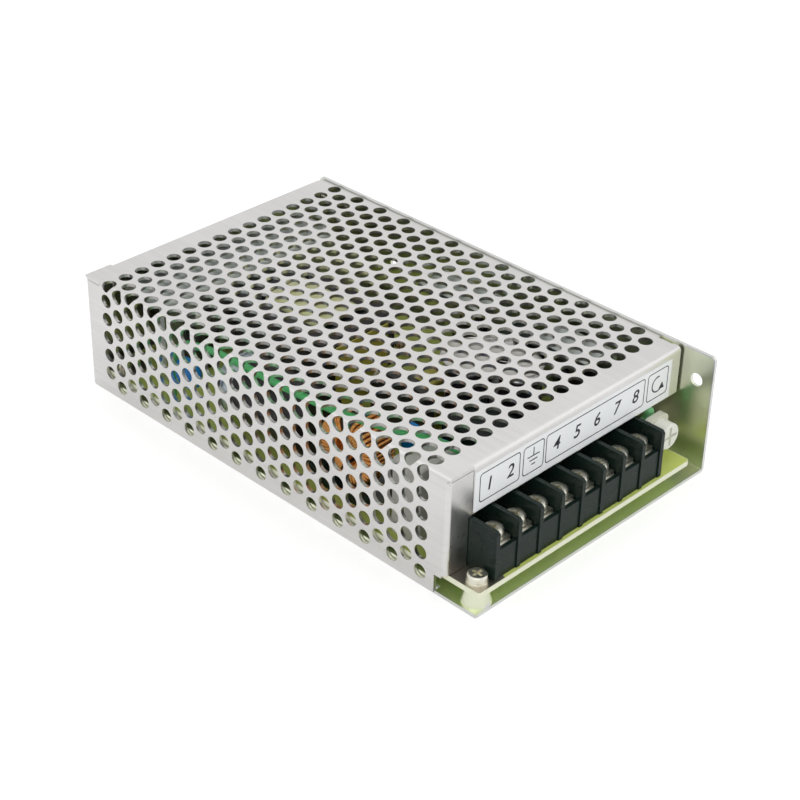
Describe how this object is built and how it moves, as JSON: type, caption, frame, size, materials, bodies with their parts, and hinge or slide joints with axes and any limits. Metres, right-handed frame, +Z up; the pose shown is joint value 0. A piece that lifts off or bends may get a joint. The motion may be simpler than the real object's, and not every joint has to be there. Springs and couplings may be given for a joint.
{
  "type": "mesh case switching power supply",
  "caption": "Flat enclosed power supply: folded sheet case with a perforated cover, circuit board inside and a row of screw terminals at one end.",
  "frame": {"origin": "centre of the case's underside", "axes": "-Y is the terminal end, +Y the rear, +X the plain chassis wall, -X the perforated side, +Z up"},
  "size_m": [0.097, 0.159, 0.038],
  "materials": {
    "case_sheet": "bare bright sheet, fine grain",
    "case_cover": "bare bright sheet, fine grain",
    "label": "white printed film",
    "board": "green solder mask",
    "plated_steel": "nickel plated",
    "black_moulding": "satin black moulding",
    "tinned_metal": "tinned",
    "cream_plastic": "satin",
    "white_plastic": "satin",
    "green_lens": "tinted clear",
    "ferrite": "matt dark grey",
    "yellow_tape": "satin tape",
    "black_sleeve": "shrink sleeve",
    "enamelled_copper": "enamelled wire",
    "grey_case": "satin",
    "yellow_case": "satin",
    "blue_coat": "dipped lacquer",
    "black_coat": "dipped lacquer",
    "fuse_tube": "ceramic tube",
    "heatsink_metal": "plain rolled",
    "resistor_coat": "lacquer",
    "green_sleeve": "insulation"
  },
  "bodies": {
    "case": {"chassis": "case_sheet", "cover": "case_cover", "terminal_label": "label", "circuit_board": "board", "board_screws": "plated_steel", "cover_screws": "plated_steel", "heatsink_screws": "plated_steel", "terminal_block": "black_moulding", "terminal_contacts": "tinned_metal", "trimmer_body": "cream_plastic", "power_led": "green_lens", "transformer_core": "ferrite", "transformer_winding": "yellow_tape", "transformer_bobbin": "black_moulding", "bulk_capacitor": "black_sleeve", "choke_core": "ferrite", "choke_windings": "enamelled_copper", "choke_base": "black_moulding", "film_capacitor": "grey_case", "line_filter_capacitor": "yellow_case", "ceramic_capacitors": "blue_coat", "thermistor": "black_coat", "fuse": "fuse_tube", "fuse_clips": "tinned_metal", "bridge_rectifier": "black_coat", "rear_heatsink": "heatsink_metal", "side_heatsink_rear": "heatsink_metal", "side_heatsink_front": "heatsink_metal", "switching_transistor": "black_coat", "rectifier_diodes": "black_coat", "relay": "black_moulding", "output_capacitors": "black_sleeve", "small_capacitors": "black_sleeve", "output_inductor": "black_moulding", "control_chips": "black_coat", "resistors": "resistor_coat", "green_lead": "green_sleeve", "insulating_barrier": "yellow_tape"},
    "clamp_plate_1": {"clamp_plate_1": "plated_steel"},
    "terminal_screw_1": {"terminal_screw_1": "plated_steel"},
    "clamp_plate_2": {"clamp_plate_2": "plated_steel"},
    "terminal_screw_2": {"terminal_screw_2": "plated_steel"},
    "clamp_plate_3": {"clamp_plate_3": "plated_steel"},
    "terminal_screw_3": {"terminal_screw_3": "plated_steel"},
    "clamp_plate_4": {"clamp_plate_4": "plated_steel"},
    "terminal_screw_4": {"terminal_screw_4": "plated_steel"},
    "clamp_plate_5": {"clamp_plate_5": "plated_steel"},
    "terminal_screw_5": {"terminal_screw_5": "plated_steel"},
    "clamp_plate_6": {"clamp_plate_6": "plated_steel"},
    "terminal_screw_6": {"terminal_screw_6": "plated_steel"},
    "clamp_plate_7": {"clamp_plate_7": "plated_steel"},
    "terminal_screw_7": {"terminal_screw_7": "plated_steel"},
    "clamp_plate_8": {"clamp_plate_8": "plated_steel"},
    "terminal_screw_8": {"terminal_screw_8": "plated_steel"},
    "trimmer_rotor": {"trimmer_rotor": "white_plastic"}
  },
  "joints": [
    {"name": "plate_lift_1", "type": "slide", "parent": "case", "child": "clamp_plate_1", "axis": [0, 0, 1], "range_m": [0, 0.0024]},
    {"name": "screw_turn_1", "type": "hinge", "parent": "clamp_plate_1", "child": "terminal_screw_1", "pos_m": [-0.03525, -0.0725, 0.019], "axis": [0, 0, 1], "range_deg": [0, 1440]},
    {"name": "plate_lift_2", "type": "slide", "parent": "case", "child": "clamp_plate_2", "axis": [0, 0, 1], "range_m": [0, 0.0024]},
    {"name": "screw_turn_2", "type": "hinge", "parent": "clamp_plate_2", "child": "terminal_screw_2", "pos_m": [-0.02675, -0.0725, 0.019], "axis": [0, 0, 1], "range_deg": [0, 1440]},
    {"name": "plate_lift_3", "type": "slide", "parent": "case", "child": "clamp_plate_3", "axis": [0, 0, 1], "range_m": [0, 0.0024]},
    {"name": "screw_turn_3", "type": "hinge", "parent": "clamp_plate_3", "child": "terminal_screw_3", "pos_m": [-0.01825, -0.0725, 0.019], "axis": [0, 0, 1], "range_deg": [0, 1440]},
    {"name": "plate_lift_4", "type": "slide", "parent": "case", "child": "clamp_plate_4", "axis": [0, 0, 1], "range_m": [0, 0.0024]},
    {"name": "screw_turn_4", "type": "hinge", "parent": "clamp_plate_4", "child": "terminal_screw_4", "pos_m": [-0.00975, -0.0725, 0.019], "axis": [0, 0, 1], "range_deg": [0, 1440]},
    {"name": "plate_lift_5", "type": "slide", "parent": "case", "child": "clamp_plate_5", "axis": [0, 0, 1], "range_m": [0, 0.0024]},
    {"name": "screw_turn_5", "type": "hinge", "parent": "clamp_plate_5", "child": "terminal_screw_5", "pos_m": [-0.00125, -0.0725, 0.019], "axis": [0, 0, 1], "range_deg": [0, 1440]},
    {"name": "plate_lift_6", "type": "slide", "parent": "case", "child": "clamp_plate_6", "axis": [0, 0, 1], "range_m": [0, 0.0024]},
    {"name": "screw_turn_6", "type": "hinge", "parent": "clamp_plate_6", "child": "terminal_screw_6", "pos_m": [0.00725, -0.0725, 0.019], "axis": [0, 0, 1], "range_deg": [0, 1440]},
    {"name": "plate_lift_7", "type": "slide", "parent": "case", "child": "clamp_plate_7", "axis": [0, 0, 1], "range_m": [0, 0.0024]},
    {"name": "screw_turn_7", "type": "hinge", "parent": "clamp_plate_7", "child": "terminal_screw_7", "pos_m": [0.01575, -0.0725, 0.019], "axis": [0, 0, 1], "range_deg": [0, 1440]},
    {"name": "plate_lift_8", "type": "slide", "parent": "case", "child": "clamp_plate_8", "axis": [0, 0, 1], "range_m": [0, 0.0024]},
    {"name": "screw_turn_8", "type": "hinge", "parent": "clamp_plate_8", "child": "terminal_screw_8", "pos_m": [0.02425, -0.0725, 0.019], "axis": [0, 0, 1], "range_deg": [0, 1440]},
    {"name": "trimmer_turn", "type": "hinge", "parent": "case", "child": "trimmer_rotor", "pos_m": [0.036, -0.0709, 0.0153], "axis": [0, 1, 0], "range_deg": [-130, 130]}
  ],
  "couplings": [
    {"joint": "screw_turn_1", "follows": "plate_lift_1", "rad_per_m": 10472},
    {"joint": "screw_turn_2", "follows": "plate_lift_2", "rad_per_m": 10472},
    {"joint": "screw_turn_3", "follows": "plate_lift_3", "rad_per_m": 10472},
    {"joint": "screw_turn_4", "follows": "plate_lift_4", "rad_per_m": 10472},
    {"joint": "screw_turn_5", "follows": "plate_lift_5", "rad_per_m": 10472},
    {"joint": "screw_turn_6", "follows": "plate_lift_6", "rad_per_m": 10472},
    {"joint": "screw_turn_7", "follows": "plate_lift_7", "rad_per_m": 10472},
    {"joint": "screw_turn_8", "follows": "plate_lift_8", "rad_per_m": 10472}
  ]
}
